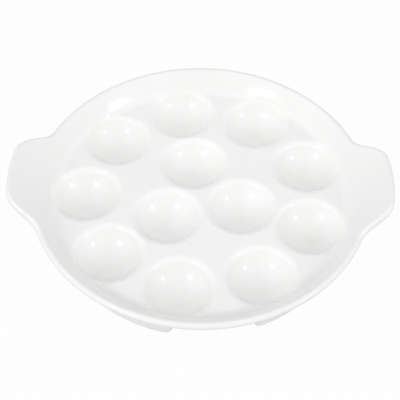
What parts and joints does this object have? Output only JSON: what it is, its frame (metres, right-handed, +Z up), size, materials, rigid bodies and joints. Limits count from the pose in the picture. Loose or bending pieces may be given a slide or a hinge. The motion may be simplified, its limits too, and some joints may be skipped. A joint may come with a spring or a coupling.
{
  "type": "escargot plate",
  "caption": "Round white porcelain snail plate: flat floor with rings of round hollows, flared wall with a rounded lip, two rising end lugs to lift it by, and a foot in arcs underneath.",
  "frame": {"origin": "middle of the plate, on the table that its foot stands on", "axes": "+X from the middle towards the right lug, +Y away from the viewer of the picture, +Z up"},
  "size_m": [0.235, 0.208, 0.039],
  "materials": {
    "glazed_porcelain": "gloss white glaze",
    "foot_porcelain": "gloss white glaze on the sides, bare matt tread"
  },
  "bodies": {
    "root": {"well_floor": "glazed_porcelain", "outer_hollow_1": "glazed_porcelain", "outer_hollow_2": "glazed_porcelain", "outer_hollow_3": "glazed_porcelain", "outer_hollow_4": "glazed_porcelain", "outer_hollow_5": "glazed_porcelain", "outer_hollow_6": "glazed_porcelain", "outer_hollow_7": "glazed_porcelain", "outer_hollow_8": "glazed_porcelain", "outer_hollow_9": "glazed_porcelain", "inner_hollow_1": "glazed_porcelain", "inner_hollow_2": "glazed_porcelain", "inner_hollow_3": "glazed_porcelain", "rim_front": "glazed_porcelain", "rim_rear": "glazed_porcelain", "lug_left": "glazed_porcelain", "lug_right": "glazed_porcelain", "foot_right": "foot_porcelain", "foot_rear": "foot_porcelain", "foot_left": "foot_porcelain"}
  },
  "joints": []
}
